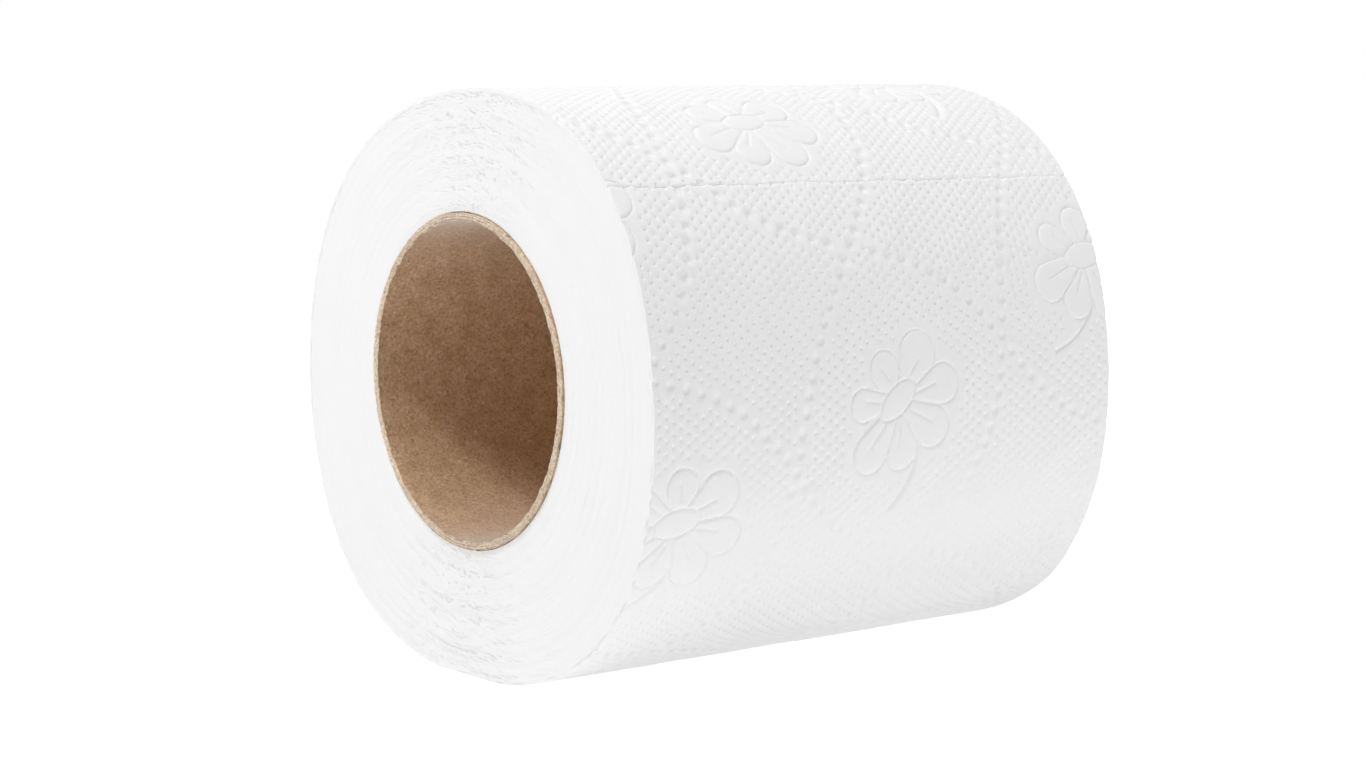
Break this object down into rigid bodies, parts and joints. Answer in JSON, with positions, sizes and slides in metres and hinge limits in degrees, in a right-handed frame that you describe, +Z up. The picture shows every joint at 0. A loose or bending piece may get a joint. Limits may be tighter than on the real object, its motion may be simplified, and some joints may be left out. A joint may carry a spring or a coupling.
{
  "type": "toilet paper roll",
  "caption": "Soft roll of embossed toilet paper lying on its side, wound on an open cardboard core, with perforated sheets and a loose end at the back.",
  "frame": {"origin": "on the floor under the middle of the roll, in the plane of the flat spot it rests on", "axes": "+X along the core's axis, away from the near end; +Y to the back, where the loose end is; +Z up"},
  "size_m": [0.0904, 0.0925, 0.089],
  "materials": {
    "paper": "matte, soft and fibrous, embossed",
    "core_board": "matte, speckled grey-brown board"
  },
  "bodies": {
    "root": {"paper_roll": "paper", "core_tube": "core_board"}
  },
  "joints": []
}
